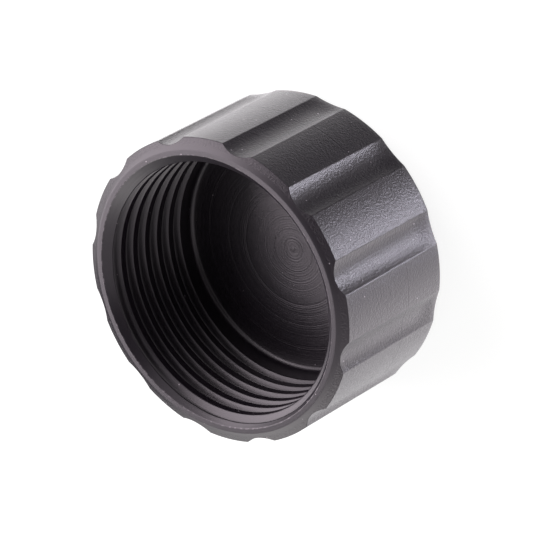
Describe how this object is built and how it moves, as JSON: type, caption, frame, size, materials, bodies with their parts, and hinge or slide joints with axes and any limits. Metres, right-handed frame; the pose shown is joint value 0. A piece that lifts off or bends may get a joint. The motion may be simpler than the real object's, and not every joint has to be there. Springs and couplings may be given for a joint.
{
  "type": "threaded protection cap",
  "caption": "Short round plastic cap, blind, with an internal pipe thread, a chamfered mouth and concave grip flutes along its side.",
  "frame": {"origin": "centre of the closed end's outer face", "axes": "+Z along the cap's axis, out of the mouth; +X through the middle of a grip ridge"},
  "size_m": [0.0304, 0.0304, 0.015],
  "materials": {
    "cap": "fine matt texture"
  },
  "bodies": {
    "root": {"cap": "cap"}
  },
  "joints": []
}
